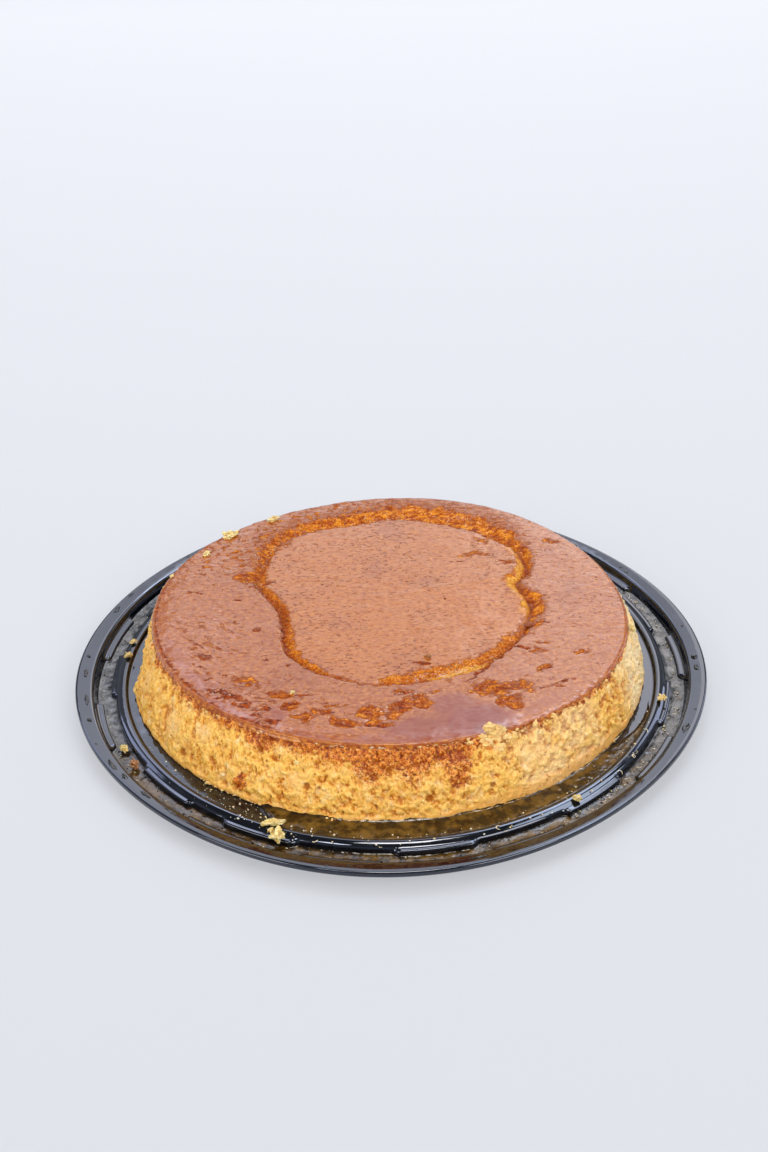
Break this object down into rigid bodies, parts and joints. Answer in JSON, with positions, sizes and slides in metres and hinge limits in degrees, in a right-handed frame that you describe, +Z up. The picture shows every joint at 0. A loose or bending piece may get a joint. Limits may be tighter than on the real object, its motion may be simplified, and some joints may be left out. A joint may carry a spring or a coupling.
{
  "type": "leche flan on a round tray",
  "caption": "Whole round caramel custard turned out onto a shallow black catering tray, with thin syrup lying round it and loose crumbs.",
  "frame": {"origin": "centre of the round tray, on the surface that it stands on", "axes": "+Z up; -Y is the front, where the syrup pool and the largest crumbs lie; +X is to the right seen from the front"},
  "size_m": [0.3074, 0.3074, 0.0393],
  "materials": {
    "tray_plastic": "gloss",
    "custard": "moist, porous side and glazed caramel top",
    "syrup": "wet gloss",
    "crumb": "moist"
  },
  "bodies": {
    "root": {"tray": "tray_plastic", "flan": "custard", "syrup_channel": "syrup", "syrup_pool": "syrup", "crumb_front_long": "crumb", "crumb_front_fat": "crumb", "crumb_ridge_back": "crumb", "crumb_ridge_left": "crumb", "crumb_pale": "crumb", "crumb_brown": "crumb", "crumb_ridge_right": "crumb", "crumb_ridge_front": "crumb"}
  },
  "joints": []
}
